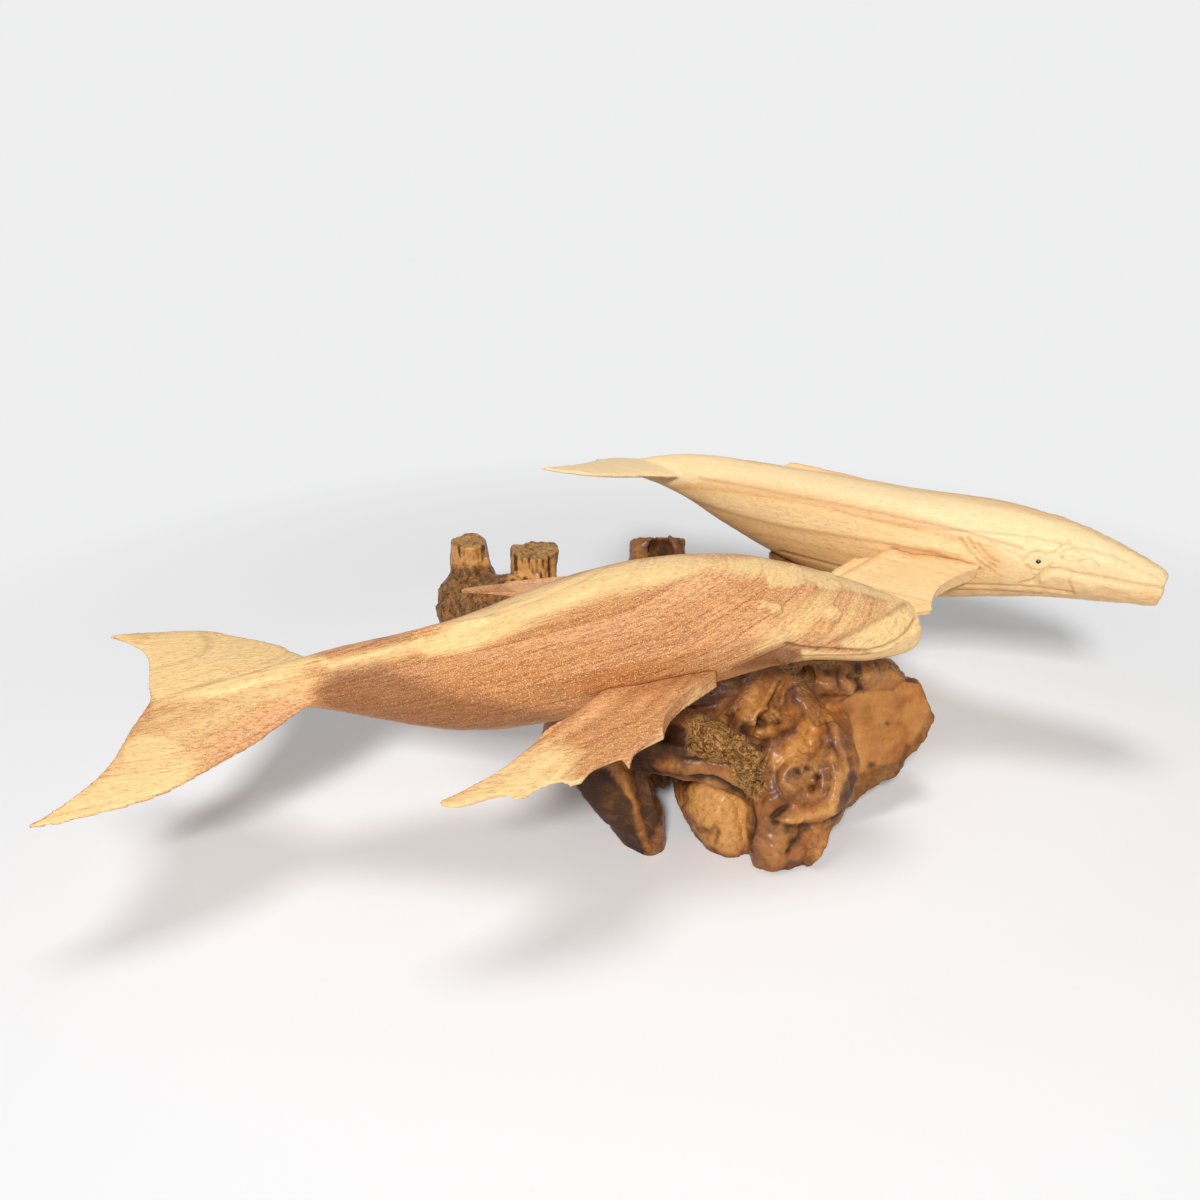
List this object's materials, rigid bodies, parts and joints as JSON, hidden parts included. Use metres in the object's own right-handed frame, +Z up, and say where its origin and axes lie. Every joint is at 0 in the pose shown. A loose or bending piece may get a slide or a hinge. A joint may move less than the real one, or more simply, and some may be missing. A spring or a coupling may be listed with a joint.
{
  "type": "whale pair carving on a root",
  "caption": "Carved wooden humpback whale pair with doweled flippers, pinned over one polished knotty root that stands flat on its feet.",
  "frame": {"origin": "middle of the whole footprint, on the floor under the feet of the root", "axes": "+Z up, +X towards the heads of the whales and along the longest extent, -Y towards the viewer of the picture"},
  "size_m": [0.7688, 0.5056, 0.2103],
  "materials": {
    "root_wood": "clear varnish over brown burl",
    "whale_wood_red": "satin, red-brown heartwood with pale sapwood",
    "whale_wood_pale": "satin, cream sapwood with faint pink lines",
    "dowel_wood": "plain",
    "eye_black": "black bead",
    "pin_steel": "plain steel rod"
  },
  "bodies": {
    "root": {"root_base": "root_wood", "front_whale_pin": "pin_steel", "rear_whale_pin": "pin_steel"},
    "front_whale": {"front_whale_body": "whale_wood_red", "front_whale_right_flipper": "whale_wood_red", "front_whale_right_dowel": "dowel_wood", "front_whale_right_eye": "eye_black", "front_whale_left_flipper": "whale_wood_red", "front_whale_left_dowel": "dowel_wood", "front_whale_left_eye": "eye_black"},
    "rear_whale": {"rear_whale_body": "whale_wood_pale", "rear_whale_right_flipper": "whale_wood_pale", "rear_whale_right_dowel": "dowel_wood", "rear_whale_right_eye": "eye_black", "rear_whale_left_flipper": "whale_wood_pale", "rear_whale_left_dowel": "dowel_wood", "rear_whale_left_eye": "eye_black"}
  },
  "joints": [
    {"name": "front_whale_lift", "type": "slide", "parent": "root", "child": "front_whale", "axis": [0, 0, 1], "range_m": [0, 0.06]},
    {"name": "rear_whale_lift", "type": "slide", "parent": "root", "child": "rear_whale", "axis": [0, 0, 1], "range_m": [0, 0.06]}
  ]
}
